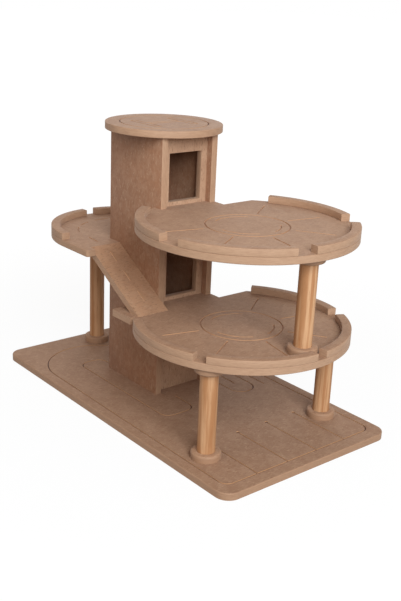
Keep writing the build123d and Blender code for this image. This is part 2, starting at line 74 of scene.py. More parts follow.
# Angles of each kerb rail's two ends about the centre of its deck, in degrees.
LOWER_RAILS: Arcs = {
    "near": (237.0, 294.3),
    "front": (301.2, 358.5),
    "side": (364.5, 423.6),
    "far": (433.5, 492.4),
}
UPPER_RAILS: Arcs = {
    "near": (214.0, 271.5),
    "front": (283.6, 341.7),
    "side": (352.0, 411.0),
    "far": (428.1, 485.3),
}
HALF_DECK_RAILS: Arcs = {"near": (183.8, 270.0), "far": (90.5, 173.8)}


class Face(Enum):
    """The direction that a board's flat faces look in, in the part's own frame."""

    SIDE = (0.0, 1.0, 0.0)
    FRONT = (1.0, 0.0, 0.0)
    TOP = (0.0, 0.0, 1.0)
    SLOPE = (math.sin(RAMP_SLOPE), 0.0, math.cos(RAMP_SLOPE))


class Slot(Enum):
    """The record's material slots."""

    BOARD = "fibre_board"
    DOWEL = "dowel_wood"
    STEEL = "screw_steel"
    BRASS = "eye_brass"


class Body(Enum):
    """The bodies that move apart from each other."""

    GARAGE = "garage"
    CAR = "lift_car"
    CRANK = "crank"


def paint(red: int, green: int, blue: int) -> Rgb:
    """A display colour, 0 to 255 a channel, as linear light.

    Args:
        red: The red channel.
        green: The green channel.
        blue: The blue channel.

    Returns:
        The three linear channels.
    """
    def linear(channel: int) -> float:
        """One channel as linear light, by the standard display curve."""
        share = channel / 255
        return share / 12.92 if share <= 0.04045 else ((share + 0.055) / 1.055) ** 2.4

    return (linear(red), linear(green), linear(blue))


class NodeGraph:
    """Short-hand for filling one node tree."""

    def __init__(self, tree: bpy.types.NodeTree) -> None:
        """Takes over a tree and empties it.

        Args:
            tree: The tree of a material, a world or a geometry rule.
        """
        self.tree = tree
        self.tree.nodes.clear()

    def feed(self, socket: bpy.types.NodeSocket, value: object) -> None:
        """Links a socket to another node's output, or sets its value."""
        if isinstance(value, bpy.types.NodeSocket):
            self.tree.links.new(value, socket)
        else:
            socket.default_value = value

    def node(self, kind: str, inputs: dict[str, object] | None = None, **settings: object) -> bpy.types.Node:
        """Adds a node, sets its properties, and feeds its inputs.

        Args:
            kind: The node's type.
            inputs: Sockets by name, each fed by a socket or set to a value.
            **settings: Properties by name.

        Returns:
            The node.
        """
        made = self.tree.nodes.new(kind)
        for key, value in settings.items():
            setattr(made, key, value)
        for name, value in (inputs or {}).items():
            socket = next(s for s in made.inputs if s.name == name and s.enabled)
            self.feed(socket, value)
        return made

    def math(self, operation: str, *values: object) -> bpy.types.NodeSocket:
        """Adds a math node.

        Args:
            operation: The operation's name.
            *values: A socket or a number for each of its inputs.

        Returns:
            The result.
        """
        made = self.node("ShaderNodeMath", operation=operation)
        for socket, value in zip(made.inputs, values):
            self.feed(socket, value)
        return made.outputs[0]

    def mix_shaders(self, share: object, first: bpy.types.Node, second: bpy.types.Node) -> bpy.types.Node:
        """Mixes two shader nodes.

        Args:
            share: How much of the second.
            first: A shader node.
            second: A shader node.

        Returns:
            The mixing node.
        """
        mix = self.node("ShaderNodeMixShader")
        for socket, value in zip(mix.inputs, (share, first.outputs[0], second.outputs[0])):
            self.feed(socket, value)
        return mix

    def seen_share(self) -> bpy.types.NodeSocket:
        """1 for rays that show the background, in the picture or in a gloss, and 0 for all others."""
        path = self.node("ShaderNodeLightPath").outputs
        total = self.math("MAXIMUM", path["Is Camera Ray"], path["Is Glossy Ray"])
        return self.math("MAXIMUM", total, path["Is Transmission Ray"])


class Finish(NodeGraph):
    """Short-hand for building one material on Object coordinates."""

    def __init__(self, name: str) -> None:
        """Starts a material with only its output.

        Args:
            name: The material's name.
        """
        self.material = bpy.data.materials.new(name)
        self.material.use_nodes = True
        super().__init__(self.material.node_tree)
        self.output = self.node("ShaderNodeOutputMaterial")
        self.coords = self.node("ShaderNodeTexCoord")

    def step(self, value: object, low: float, high: float, most: float = 1.0) -> bpy.types.NodeSocket:
        """A smooth step from 0 up.

        Args:
            value: A socket.
            low: Where the step starts.
            high: Where the step ends.
            most: What it reaches.

        Returns:
            The step.
        """
        sizes = {"Value": value, "From Min": low, "From Max": high, "To Max": most}
        made = self.node("ShaderNodeMapRange", sizes, interpolation_type="SMOOTHSTEP", clamp=True)
        return made.outputs["Result"]

    def between(self, value: object, low: float, high: float) -> bpy.types.NodeSocket:
        """The value stretched so that 0 gives the low number and 1 the high one."""
        return self.math("MULTIPLY_ADD", value, high - low, low)

    def placed(
        self, scale: Point = (1, 1, 1), turn: Point = (0, 0, 0), shift: Point = (0, 0, 0)
    ) -> bpy.types.NodeSocket:
        """Object coordinates, stretched, turned and shifted.

        Args:
            scale: The stretch along each axis.
            turn: The turn about each axis, in radians.
            shift: The shift along each axis, in metres.

        Returns:
            The coordinates.
        """
        place = self.coords.outputs["Object"]
        made = self.node(
            "ShaderNodeMapping", {"Vector": place, "Location": shift, "Rotation": turn, "Scale": scale}
        )
        return made.outputs["Vector"]

    def noise(
        self, vector: object, scale: float, detail: float = 3.0, rough: float = 0.55
    ) -> bpy.types.NodeSocket:
        """A noise value.

        Args:
            vector: The coordinates.
            scale: Features to the metre.
            detail: Octaves.
            rough: How strong each finer octave is.

        Returns:
            The value, about 0 to 1.
        """
        sizes = {"Vector": vector, "Scale": scale, "Detail": detail, "Roughness": rough}
        return self.node("ShaderNodeTexNoise", sizes).outputs["Fac"]

    def blend(self, share: object, first: object, second: object) -> bpy.types.NodeSocket:
        """Mixes two colours.

        Args:
            share: How much of the second.
            first: A socket or a colour.
            second: A socket or a colour.

        Returns:
            The mixed colour.
        """
        made = self.node("ShaderNodeMix", data_type="RGBA")
        self.feed(made.inputs["Factor"], share)
        for name, value in (("A", first), ("B", second)):
            socket = next(s for s in made.inputs if s.name == name and s.type == "RGBA")
            self.feed(socket, (*value, 1.0) if isinstance(value, tuple) else value)
        return next(s for s in made.outputs if s.type == "RGBA")

    def facing(self, axis: Point) -> bpy.types.NodeSocket:
        """How squarely the surface looks along an axis, either way, from 0 to 1."""
        made = self.node("ShaderNodeVectorMath", operation="DOT_PRODUCT")
        self.feed(made.inputs[0], self.coords.outputs["Normal"])
        self.feed(made.inputs[1], axis)
        return self.math("ABSOLUTE", made.outputs["Value"])

    def bump(self, height: object, strength: float, depth: float) -> bpy.types.NodeSocket:
        """A surface normal from a height.

        Args:
            height: The height, 0 to 1.
            strength: The effect's share.
            depth: The height's real size in metres.

        Returns:
            The normal.
        """
        sizes = {"Height": height, "Strength": strength, "Distance": depth}
        return self.node("ShaderNodeBump", sizes).outputs["Normal"]

    def surface(self, colour: object, rough: object, normal: object, **uniform: float) -> bpy.types.Material:
        """Ends the tree in a surface shader.

        Args:
            colour: The base colour.
            rough: The roughness.
            normal: The bumped normal.
            **uniform: Other sockets by name, with underscores for spaces.

        Returns:
            The finished material.
        """
        inputs = {"Base Color": colour, "Roughness": rough, "Normal": normal}
        inputs.update({key.replace("_", " "): value for key, value in uniform.items()})
        return self.end(self.node("ShaderNodeBsdfPrincipled", inputs))

    def end(self, shader: bpy.types.Node) -> bpy.types.Material:
        """Links the last shader to the output and gives the finished material."""
        self.tree.links.new(shader.outputs[0], self.output.inputs["Surface"])
        return self.material


class Rule(NodeGraph):
    """Short-hand for building one geometry tree with named inputs."""

    def __init__(self, name: str) -> None:
        """Starts a tree with a mesh output.

        Args:
            name: The tree's name.
        """
        super().__init__(bpy.data.node_groups.new(name, "GeometryNodeTree"))
        for way in ("INPUT", "OUTPUT"):
            self.tree.interface.new_socket("Geometry", in_out=way, socket_type="NodeSocketGeometry")
        self.source = self.node("NodeGroupInput")
        self.result = self.node("NodeGroupOutput")
        self.names: dict[str, str] = {}

    def size(self, name: str, kind: str = "Float") -> bpy.types.NodeSocket:
        """Adds a named input.

        Args:
            name: The input's name.
            kind: Its kind of socket.

        Returns:
            The input's socket inside the tree.
        """
        made = self.tree.interface.new_socket(name, in_out="INPUT", socket_type="NodeSocket" + kind)
        self.names[name] = made.identifier
        return next(s for s in self.source.outputs if s.identifier == made.identifier)

    def point(self, x: object = 0.0, y: object = 0.0, z: object = 0.0) -> bpy.types.NodeSocket:
        """A vector from three sockets or numbers."""
        return self.node("ShaderNodeCombineXYZ", {"X": x, "Y": y, "Z": z}).outputs[0]

    def made(self, kind: str, inputs: dict[str, object], **settings: object) -> bpy.types.NodeSocket:
        """Adds a node and gives its first output."""
        return self.node(kind, inputs, **settings).outputs[0]

    def rounded(
        self, profile: bpy.types.NodeSocket, radius: object, steps: bpy.types.NodeSocket
    ) -> bpy.types.NodeSocket:
        """Rounds the corners of a profile.

        Args:
            profile: The profile's curve.
            radius: The corners' radius.
            steps: How many points round each corner.

        Returns:
            The rounded curve.
        """
        inputs = {"Curve": profile, "Radius": radius, "Count": steps, "Limit Radius": True}
        return self.made("GeometryNodeFilletCurve", inputs, mode="POLY")

    def close(self, geometry: bpy.types.NodeSocket) -> None:
        """Ends the tree in Realize Instances and Set Material.

        Args:
            geometry: The made geometry.
        """
        finish = self.size("Finish", "Material")
        real = self.made("GeometryNodeRealizeInstances", {"Geometry": geometry})
        dressed = self.made("GeometryNodeSetMaterial", {"Geometry": real, "Material": finish})
        self.tree.links.new(dressed, self.result.inputs[0])

    def grow(self, name: str, values: dict[str, object]) -> bpy.types.Object:
        """Makes one object from the tree and bakes it.

        Args:
            name: The object's name.
            values: The tree's inputs by name.

        Returns:
            The baked object, at the origin.
        """
        piece = link(name, bpy.data.meshes.new(name))
        modifier = piece.modifiers.new("made by rule", "NODES")
        modifier.node_group = self.tree
        for key, value in values.items():
            modifier[self.names[key]] = value
        return baked(piece)


@dataclass(frozen=True)
class FibreBoard:
    """Bare medium-density fibre board: mottled pressed faces and paler cut edges.

    Attributes:
        name: The material's name.
        face: Which way the board's pressed faces look.
        engraved: Whether the board carries engraved marks.
        shift: Where in the pattern this board was cut.
        face_tone: Colour of the pressed face.
        edge_tone: Colour of a cut edge.
        dark_tone: Colour of dark fibres and patches.
        fibre_tone: Colour of pale fibres and patches.
        groove_tone: Colour of a mark's freshly cut walls.
        groove_floor_and_shade: Colour of a mark's floor; the default dark brown is painted shade at the
            bottom of the groove.
        stain: How fully the marks take their wall and floor colours, the floor's painted shade included.
        sheen: Strength of the fuzzy light off the fibres.
        fibre_depth: Height of the fibres, in metres.
    """

    name: str
    face: Face
    engraved: bool = False
    shift: float = 0.0
    face_tone: Rgb = paint(164, 125, 96)
    edge_tone: Rgb = paint(178, 141, 112)
    dark_tone: Rgb = paint(134, 95, 69)
    fibre_tone: Rgb = paint(190, 156, 128)
    groove_tone: Rgb = paint(198, 148, 106)
    # Dark brown groove floor: painted shade at the bottom of the engraved marks.
    groove_floor_and_shade: Rgb = paint(76, 46, 31)
    stain: float = 0.9
    sheen: float = 0.09
    fibre_depth: float = 0.12 * MM

    def fibres(self, graph: Finish, turn: float) -> bpy.types.NodeSocket:
        """Short pressed fibres that lie one way.

        Args:
            graph: The material's tree.
            turn: Their turn in the board's face, in radians.

        Returns:
            The fibres' noise.
        """
        stretch = (1.0, 0.28, 1.0) if self.face in (Face.TOP, Face.SLOPE) else (1.0, 1.0, 0.28)
        angle = tuple(turn * share for share in self.face.value)
        place = graph.placed(stretch, angle, shift=(self.shift, -self.shift, self.shift))
        return graph.noise(place, scale=560, rough=0.65)

    def mottle(self, graph: Finish) -> bpy.types.NodeSocket:
        """Colour of the pressed face, from cloudy patches down to single fibres.

        Args:
            graph: The material's tree.

        Returns:
            The colour.
        """
        place = graph.placed(shift=(self.shift, self.shift, -self.shift))
        clouds = graph.noise(place, scale=22, detail=4.0, rough=0.6)
        patches = graph.noise(place, scale=95, rough=0.6)
        dark_fibres = self.fibres(graph, turn=0.5)
        pale_fibres = self.fibres(graph, turn=-0.9)
        tone = graph.blend(graph.step(clouds, 0.35, 0.68, most=0.34), self.face_tone, self.dark_tone)
        tone = graph.blend(graph.step(patches, 0.38, 0.66, most=0.2), tone, self.fibre_tone)
        tone = graph.blend(graph.step(dark_fibres, 0.55, 0.66, most=0.72), tone, self.dark_tone)
        return graph.blend(graph.step(pale_fibres, 0.57, 0.68, most=0.55), tone, self.fibre_tone)

    def cut_edge(self, graph: Finish) -> bpy.types.NodeSocket:
        """Colour of a sawn and sanded edge, streaked along the board.

        Args:
            graph: The material's tree.

        Returns:
            The colour.
        """
        stretch = tuple(4.0 if abs(share) > 0.8 else 0.6 for share in self.face.value)
        place = graph.placed(stretch, shift=(-self.shift, self.shift, self.shift))
        streaks = graph.noise(place, scale=160, detail=4.0, rough=0.65)
        clouds = graph.noise(graph.placed(), scale=30)
        tone = graph.blend(graph.step(streaks, 0.36, 0.7, most=0.34), self.edge_tone, self.dark_tone)
        return graph.blend(graph.step(clouds, 0.35, 0.7, most=0.22), tone, self.face_tone)

    def make(self) -> bpy.types.Material:
        """Builds the material.

        Returns:
            The finished material.
        """
        graph = Finish(self.name)
        pressed = graph.step(graph.facing(self.face.value), 0.55, 0.93)
        tone = graph.blend(pressed, self.cut_edge(graph), self.mottle(graph))
        if self.engraved:
            inside = graph.node("ShaderNodeAttribute", attribute_name=GROOVE).outputs["Fac"]
            # Marks' walls take the pale cut colour, and their floors a darker painted shade on most boards.
            mark = graph.blend(pressed, self.groove_tone, self.groove_floor_and_shade)
            tone = graph.blend(graph.math("MULTIPLY", inside, self.stain), tone, mark)
        height = graph.noise(graph.placed(shift=(self.shift, 0, 0)), scale=1300, rough=0.7)
        rough = graph.between(height, 0.6, 0.76)
        normal = graph.bump(height, strength=0.5, depth=self.fibre_depth)
        return graph.surface(
            tone, rough, normal, Specular_IOR_Level=0.5, Sheen_Weight=self.sheen, Sheen_Roughness=0.4
        )


@dataclass(frozen=True)
class DowelWood:
    """Sanded hardwood rod with fine grain along its length.

    Attributes:
        name: The material's name.
        axis: Which way the rod runs.
        shift: Where in the pattern this rod was cut.
        pale_tone: Colour of the early wood.
        warm_tone: Colour of the late wood's bands.
        dark_tone: Colour of the pores and the darker patches.
        grain_depth: Depth of the pores, in metres.
    """

    name: str
    axis: Face
    shift: float = 0.0
    pale_tone: Rgb = paint(203, 157, 116)
    warm_tone: Rgb = paint(172, 120, 78)
    dark_tone: Rgb = paint(148, 98, 60)
    grain_depth: float = 0.15 * MM

    def stretched(self, graph: Finish, along: float, shift: float) -> bpy.types.NodeSocket:
        """Coordinates drawn out along the rod.

        Args:
            graph: The material's tree.
            along: The stretch along the rod.
            shift: Where in the pattern the rod was cut.

        Returns:
            The coordinates.
        """
        scale = tuple(along if share > 0.5 else 1.0 for share in self.axis.value)
        return graph.placed(scale, shift=(shift, shift * 0.7, shift * 0.3))

    def make(self) -> bpy.types.Material:
        """Builds the material.

        Returns:
            The finished material.
        """
        graph = Finish(self.name)
        bands = graph.noise(self.stretched(graph, 0.04, self.shift), scale=160)
        pores = graph.noise(self.stretched(graph, 0.05, -self.shift), scale=1100, detail=2.0, rough=0.6)
        clouds = graph.noise(self.stretched(graph, 0.5, self.shift), scale=24, detail=2.0)
        tone = graph.blend(graph.step(bands, 0.38, 0.62), self.pale_tone, self.warm_tone)
        tone = graph.blend(graph.step(pores, 0.56, 0.74, most=0.5), tone, self.dark_tone)
        tone = graph.blend(graph.step(clouds, 0.4, 0.7, most=0.22), tone, self.dark_tone)
        normal = graph.bump(pores, strength=0.4, depth=self.grain_depth)
        return graph.surface(tone, graph.between(pores, 0.5, 0.7), normal, Specular_IOR_Level=0.4)


@dataclass(frozen=True)
class BareMetal:
    """Plated metal with faint drawing lines and handling marks.

    Attributes:
        name: The material's name.
        tone: Colour of the metal.
        worn_tone: Colour where the plating is dull.
        line_depth: Depth of the drawing lines, in metres.
    """

    name: str
    tone: Rgb
    worn_tone: Rgb
    line_depth: float = 0.04 * MM

    def make(self) -> bpy.types.Material:
        """Builds the material.

        Returns:
            The finished material.
        """
        graph = Finish(self.name)
        lines = graph.noise(graph.placed((1, 1, 0.1)), scale=2600, detail=2.0, rough=0.6)
        marks = graph.step(graph.noise(graph.placed(), scale=420), 0.45, 0.7)
        tone = graph.blend(marks, self.tone, self.worn_tone)
        normal = graph.bump(lines, strength=0.25, depth=self.line_depth)
        return graph.surface(tone, graph.between(marks, 0.28, 0.53), normal, Metallic=1.0)


def finish_piece(
    piece: bpy.types.Object, node: str, body: Body, material: bpy.types.Material
) -> None:
    """Dresses a finished mesh, sets it on its body and puts it in its node's place.

    Args:
        piece: The mesh object, at the origin.
        node: The node that it stands for.
        body: The body that it moves with.
        material: Its finish.
    """
    piece.data.materials.clear()
    piece.data.materials.append(material)
    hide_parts(node)
    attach(piece, body.value)
    LOG.info("%-28s %6d faces", piece.name, len(piece.data.polygons))


def shade(mesh: bpy.types.Mesh, sharp_degrees: float = 32.0) -> None:
    """Smooths every face and keeps edges sharp where the surface turns.

    Args:
        mesh: The mesh.
        sharp_degrees: The least turn that stays sharp.
    """
    work = bmesh.new()
    work.from_mesh(mesh)
    limit = math.radians(sharp_degrees)
    for face in work.faces:
        face.smooth = True
    for edge in work.edges:
        edge.smooth = len(edge.link_faces) == 2 and edge.calc_face_angle(0.0) < limit
    work.to_mesh(mesh)
    work.free()


def mark_grooves(mesh: bpy.types.Mesh, normal: Point) -> None:
    """Marks the walls and floors of the engraved grooves in a face attribute.

    Args:
        mesh: The board's mesh.
        normal: Which way the engraved face looks.
    """
    axis = Vector(normal)
    top = max(corner.co.dot(axis) for corner in mesh.vertices)
    bottom = top - GROOVE_DEPTH
    work = bmesh.new()
    work.from_mesh(mesh)
    layer = work.faces.layers.float.new(GROOVE)
    for face in work.faces:
        heights = [corner.co.dot(axis) for corner in face.verts]
        cut = abs(min(heights) - bottom) < SAME_HEIGHT and max(heights) < top + SAME_HEIGHT
        face[layer] = 1.0 if cut else 0.0
    work.to_mesh(mesh)
    work.free()


def link(name: str, data: bpy.types.ID) -> bpy.types.Object:
    """Puts a mesh, a lamp or a camera in the scene as an object at the origin."""
    made = bpy.data.objects.new(name, data)
    bpy.context.scene.collection.objects.link(made)
    return made


def joined_copy(node: str) -> bpy.types.Object:
    """A copy of a node's mesh with its loose triangles joined into whole faces.

    Args:
        node: The node's name.

    Returns:
        The copy, at the origin.
    """
    mesh = bpy.data.meshes.new(node + "_look")
    work = bmesh.new()
    work.from_mesh(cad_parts[node].data)
    bmesh.ops.remove_doubles(work, verts=work.verts, dist=SAME_POINT)
    bmesh.ops.dissolve_degenerate(work, edges=work.edges, dist=SLIVER)
    bmesh.ops.dissolve_limit(
        work, angle_limit=SAME_PLANE, verts=work.verts, edges=work.edges, delimit=set()
    )
    work.to_mesh(mesh)
    work.free()
    return link(node + "_look", mesh)


def baked(piece: bpy.types.Object) -> bpy.types.Object:
    """The piece with its modifiers worked into a plain mesh.

    Args:
        piece: A piece with live modifiers.

    Returns:
        The same piece, with none.
    """
    graph = bpy.context.evaluated_depsgraph_get()
    mesh = bpy.data.meshes.new_from_object(
        piece.evaluated_get(graph), preserve_all_data_layers=True, depsgraph=graph
    )
    piece.modifiers.clear()
    old = piece.data
    piece.data = mesh
    mesh.name = piece.name
    bpy.data.meshes.remove(old)
    return piece


def soften(piece: bpy.types.Object, width: float, least_degrees: float = 50.0) -> None:
    """Rounds a piece's sharp edges by a sanded width and bakes the result.

    Args:
        piece: The piece.
        width: Width of the rounding in metres.
        least_degrees: The least turn of an edge that is rounded.
    """
    bevel = piece.modifiers.new("sanded edges", "BEVEL")
    bevel.width = width
    bevel.segments = 2
    bevel.limit_method = "ANGLE"
    bevel.angle_limit = math.radians(least_degrees)
    bevel.use_clamp_overlap = True
    baked(piece)


def engraved_board(node: str, board: FibreBoard) -> None:
    """A board of the garage with engraved marks in its face.

    Args:
        node: The node that it stands for.
        board: The board's finish.
    """
    piece = joined_copy(node)
    mark_grooves(piece.data, board.face.value)
    shade(piece.data)
    finish_piece(piece, node, Body.GARAGE, board.make())


def copied_piece(
    node: str, body: Body, material: bpy.types.Material, sanded: float = 0.0
) -> None:
    """A node's own shape with joined faces, smooth curves and sanded edges.

    Args:
        node: The node that it stands for.
        body: The body that it moves with.
        material: Its finish.
        sanded: Width of the edge rounding in metres, or 0 where the node has its own.
    """
    piece = joined_copy(node)
    if sanded > 0:
        soften(piece, sanded)
    shade(piece.data)
    finish_piece(piece, node, body, material)


def rail_rule() -> Rule:
    """The rule of a kerb rail: a softened bar swept along a level arc.

    Returns:
        The rule.
    """
    rule = Rule("kerb rail")
    center = rule.size("Centre X")
    base = rule.size("Base height")
    width = rule.size("Width")
    height = rule.size("Height")
    bend = {
        "Radius": rule.size("Middle radius"),
        "Start Angle": rule.size("Start angle"),
        "Sweep Angle": rule.size("Sweep angle"),
        "Resolution": rule.size("Steps", "Int"),
    }
    arc = rule.made("GeometryNodeCurveArc", bend, mode="RADIUS")
    middle = rule.math("ADD", base, rule.math("MULTIPLY", height, 0.5))
    place = rule.point(center, 0.0, middle)
    placed = rule.made("GeometryNodeTransform", {"Geometry": arc, "Translation": place})
    path = rule.made("GeometryNodeSetCurveNormal", {"Curve": placed}, mode="Z_UP")
    bar = rule.made("GeometryNodeCurvePrimitiveQuadrilateral", {"Width": width, "Height": height})
    profile = rule.rounded(bar, rule.size("Edge round"), rule.size("Round steps", "Int"))
    sweep = {"Curve": path, "Profile Curve": profile, "Fill Caps": True}
    rule.close(rule.made("GeometryNodeCurveToMesh", sweep))
    return rule


def ring_rule() -> Rule:
    """The rule of a column ring: a bored disc, rounded on its free rim.

    Returns:
        The rule.
    """
    rule = Rule("column ring")
    center = rule.size("Centre", "Vector")
    outer = rule.size("Outer radius")
    bore = rule.size("Bore radius")
    height = rule.size("Height")
    wall = rule.math("SUBTRACT", outer, bore)
    middle = rule.math("ADD", bore, rule.math("MULTIPLY", wall, 0.5))
    loop = {"Resolution": rule.size("Steps", "Int"), "Radius": middle}
    circle = rule.made("GeometryNodeCurvePrimitiveCircle", loop, mode="RADIUS")
    path = rule.made("GeometryNodeSetCurveNormal", {"Curve": circle}, mode="Z_UP")
    bar = rule.made("GeometryNodeCurvePrimitiveQuadrilateral", {"Width": wall, "Height": height})
    corner = rule.node("ShaderNodeSeparateXYZ", {"Vector": rule.made("GeometryNodeInputPosition", {})})
    outside = rule.math("GREATER_THAN", corner.outputs["X"], 0.0)
    free = rule.math("MULTIPLY", outside, rule.math("LESS_THAN", corner.outputs["Y"], 0.0))
    rim = rule.math("MULTIPLY", free, rule.size("Rim round"))
    sanded = rule.math("ADD", rim, rule.size("Edge round"))
    profile = rule.rounded(bar, sanded, rule.size("Round steps", "Int"))
    swept = rule.made("GeometryNodeCurveToMesh", {"Curve": path, "Profile Curve": profile})
    turn = rule.point(rule.size("Turn"), 0.0, 0.0)
    place = {"Geometry": swept, "Translation": center, "Rotation": turn}
    rule.close(rule.made("GeometryNodeTransform", place))
    return rule


@dataclass
class BaseBoard:
    """The base board and the screws that come up through it.

    Attributes:
        shift: Where in the pattern the board was cut.
        face_tone: Colour of its pressed face, a little darker than the decks'.
        edge_tone: Colour of its cut edge.
        steel_tone: Colour of the screws' plating.
        worn_tone: Colour of the plating where it is dull.
    """

    shift: float = 0.11
    face_tone: Rgb = paint(150, 114, 88)
    edge_tone: Rgb = paint(166, 128, 99)
    steel_tone: Rgb = paint(178, 178, 180)
    worn_tone: Rgb = paint(134, 132, 130)

    def dress(self) -> None:
        """Gives the board its engraved face and the screws their plating."""
        board = FibreBoard(
            name="board base",
            face=Face.TOP,
            engraved=True,
            shift=self.shift,
            face_tone=self.face_tone,
            edge_tone=self.edge_tone,
        )
        engraved_board("base_board", board)
        steel = BareMetal("plated steel", self.steel_tone, self.worn_tone).make()
        copied_piece("base_screws", Body.GARAGE, steel)


@dataclass
class LiftTower:
    """The tower's four boards and its round roof.

    Attributes:
        sanded: Width of the sanded edges, in metres.
        shaded_wall_tone: Colour of the side walls' pressed faces, darker and redder than the panels as
            painted shade.
        panel_tone: Colour of the front and back panels' pressed faces.
        roof_shift: Where in the pattern the roof was cut.
        first_shift: Where in the pattern the first upright board was cut.
        next_shift: How far along the pattern each next one was cut.
        boards: Which way each upright board's pressed faces look.
    """

    sanded: float = 0.5 * MM
    shaded_wall_tone: Rgb = paint(155, 109, 79)
    panel_tone: Rgb = paint(180, 142, 113)
    roof_shift: float = 1.7
    first_shift: float = 0.23
    next_shift: float = 0.37
    boards: dict[str, Face] = field(
        default_factory=lambda: {
            "tower_wall_near": Face.SIDE,
            "tower_wall_far": Face.SIDE,
            "tower_front_panel": Face.FRONT,
            "tower_back_panel": Face.FRONT,
        }
    )

    def dress(self) -> None:
        """Dresses the walls, the panels and the roof."""
        for count, (node, face) in enumerate(self.boards.items()):
            # The side walls take a darker, redder tone than the panels: painted shade.
            tone = self.shaded_wall_tone if face is Face.SIDE else self.panel_tone
            shift = self.first_shift + self.next_shift * count
            finish = FibreBoard("board " + node, face, shift=shift, face_tone=tone)
            copied_piece(node, Body.GARAGE, finish.make(), self.sanded)
        roof = FibreBoard("board roof", Face.TOP, engraved=True, shift=self.roof_shift)
        engraved_board("roof_disc", roof)


@dataclass
class KerbRail:
    """One kerb rail, worked out from its node's box and its deck's circle.

    Attributes:
        node: The rail's node.
        center_x: The deck circle's centre.
        outer_radius: The deck circle's radius.
        start: The angle of its first end, in degrees.
        end: The angle of its other end, in degrees.
        width: Its width across the deck's edge, in metres.
        edge_round: Radius of its long edges, in metres.
        end_round: Radius of its sawn ends, in metres.
        foot_height: How far up its ends stay square, in metres.
        steps: How many points run along it.
        round_steps: How many points run round each long edge.
        sawn_degrees: The least turn of an edge at a sawn end.
    """

    node: str
    center_x: float
    outer_radius: float
    start: float
    end: float
    width: float = 13 * MM
    edge_round: float = 0.9 * MM
    end_round: float = 2.4 * MM
    foot_height: float = 1.5 * MM
    steps: int = 56
    round_steps: int = 3
    sawn_degrees: float = 70.0

    def build(self, rule: Rule, finish: bpy.types.Material) -> None:
        """Makes the rail from the rule.

        Args:
            rule: The rail's rule.
            finish: The rail's material.
        """
        low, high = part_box(self.node)
        sizes = {
            "Centre X": self.center_x,
            "Base height": low.z,
            "Middle radius": self.outer_radius - self.width / 2,
            "Width": self.width,
            "Height": high.z - low.z,
            "Start angle": math.radians(self.start),
            "Sweep angle": math.radians(self.end - self.start),
            "Edge round": self.edge_round,
            "Steps": self.steps,
            "Round steps": self.round_steps,
            "Finish": finish,
        }
        piece = rule.grow(self.node + "_look", sizes)
        self.round_ends(piece, low.z + self.foot_height)
        shade(piece.data)
        finish_piece(piece, self.node, Body.GARAGE, finish)

    def round_ends(self, piece: bpy.types.Object, foot: float) -> None:
        """Rounds the sawn ends everywhere but along the deck.

        Args:
            piece: The rail.
            foot: Height below which an edge stays square.
        """
        work = bmesh.new()
        work.from_mesh(piece.data)
        weights = work.edges.layers.float.new("bevel_weight_edge")
        for edge in work.edges:
            sawn = edge.calc_face_angle(0.0) > math.radians(self.sawn_degrees)
            edge[weights] = 1.0 if sawn and max(v.co.z for v in edge.verts) > foot else 0.0
        work.to_mesh(piece.data)
        work.free()
        bevel = piece.modifiers.new("rounded ends", "BEVEL")
        bevel.width = self.end_round
        bevel.segments = 4
        bevel.limit_method = "WEIGHT"
        baked(piece)


@dataclass
class Deck:
    """An engraved deck board with the kerb rails round it.

    Attributes:
        node: The board's node.
        rail_prefix: What its rails' nodes begin with.
        rails: Angles of the rails' ends, in degrees.
        center_x: Centre of its circle, in metres.
        radius: Radius of its circle, in metres.
        shift: Where in the pattern the board was cut.
        rail_shift: How much further along the pattern its rails were cut.
        shaded_line_floor: Colour of its marks' floors, darker than the cut walls as painted shade.
    """

    node: str
    rail_prefix: str
    rails: Arcs
    center_x: float
    radius: float
    shift: float
    rail_shift: float = 0.4
    # Darker floor of the engraved lines: painted shade.
    shaded_line_floor: Rgb = paint(150, 108, 78)

    @classmethod
    def round(cls, level: str, rails: Arcs, shift: float) -> "Deck":
        """A round deck in front of the tower, placed by its node's box.

        Args:
            level: The deck's name, lower or upper.
            rails: Angles of the rails' ends, in degrees.
            shift: Where in the pattern the board was cut.

        Returns:
            The deck.
        """
        node = level + "_deck"
        center_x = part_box(node)[1].x - ROUND_DECK_RADIUS
        return cls(node, level + "_curb_", rails, center_x, ROUND_DECK_RADIUS, shift)

    @classmethod
    def half(cls, rails: Arcs, shift: float) -> "Deck":
        """The half deck behind the tower, placed by its node's box.

        Args:
            rails: Angles of the rails' ends, in degrees.
            shift: Where in the pattern the board was cut.

        Returns:
            The deck.
        """
        low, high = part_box("half_deck")
        radius = (high.y - low.y) / 2
        return cls("half_deck", "half_deck_curb_", rails, low.x + radius, radius, shift)

    def dress(self, rule: Rule) -> None:
        """Dresses the board and builds its rails.

        Args:
            rule: The rails' rule.
        """
        board = FibreBoard(
            name="board " + self.node,
            face=Face.TOP,
            engraved=True,
            shift=self.shift,
            groove_floor_and_shade=self.shaded_line_floor,
        )
        engraved_board(self.node, board)
        finish = FibreBoard("board rails " + self.node, Face.TOP, shift=self.shift + self.rail_shift).make()
        for side, (start, end) in self.rails.items():
            rail = KerbRail(self.rail_prefix + side, self.center_x, self.radius, start, end)
            rail.build(rule, finish)


@dataclass
class Ramp:
    """The ramp from the half deck down to the lower deck.

    Attributes:
        shift: Where in the pattern the board was cut.
        face_tone: Colour of its pressed face.
        dash_tone: Colour of the floors of its lane dashes.
    """

    shift: float = 3.9
    face_tone: Rgb = paint(180, 137, 105)
    dash_tone: Rgb = paint(206, 170, 138)

    def dress(self) -> None:
        """Gives the ramp its engraved face."""
        board = FibreBoard(
            name="board ramp",
            face=Face.SLOPE,
            engraved=True,
            shift=self.shift,
            face_tone=self.face_tone,
            groove_floor_and_shade=self.dash_tone,
        )
        engraved_board("ramp", board)


